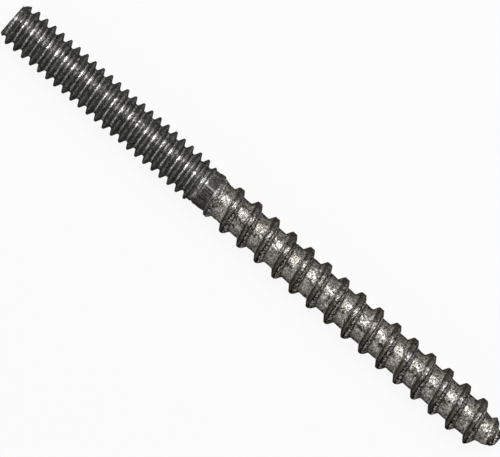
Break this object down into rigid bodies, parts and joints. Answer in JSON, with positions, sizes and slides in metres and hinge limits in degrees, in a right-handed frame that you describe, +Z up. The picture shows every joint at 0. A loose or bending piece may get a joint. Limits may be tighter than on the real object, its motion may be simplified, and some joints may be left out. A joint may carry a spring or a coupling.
{
  "type": "hanger bolt",
  "caption": "Steel hanger bolt: one rod with a fine machine thread at one end, a short plain neck, and a coarse wood thread with a blunt point at the other.",
  "frame": {"origin": "on the floor plane, below the middle of the lying bolt", "axes": "+X along the bolt from the flat machine end to the point, +Z up from the floor it lies on"},
  "size_m": [0.0636, 0.0048, 0.0048],
  "materials": {
    "steel": "plain dark rolled steel, uncoated, slightly mottled and pitted"
  },
  "bodies": {
    "root": {"hanger_bolt": "steel"}
  },
  "joints": []
}
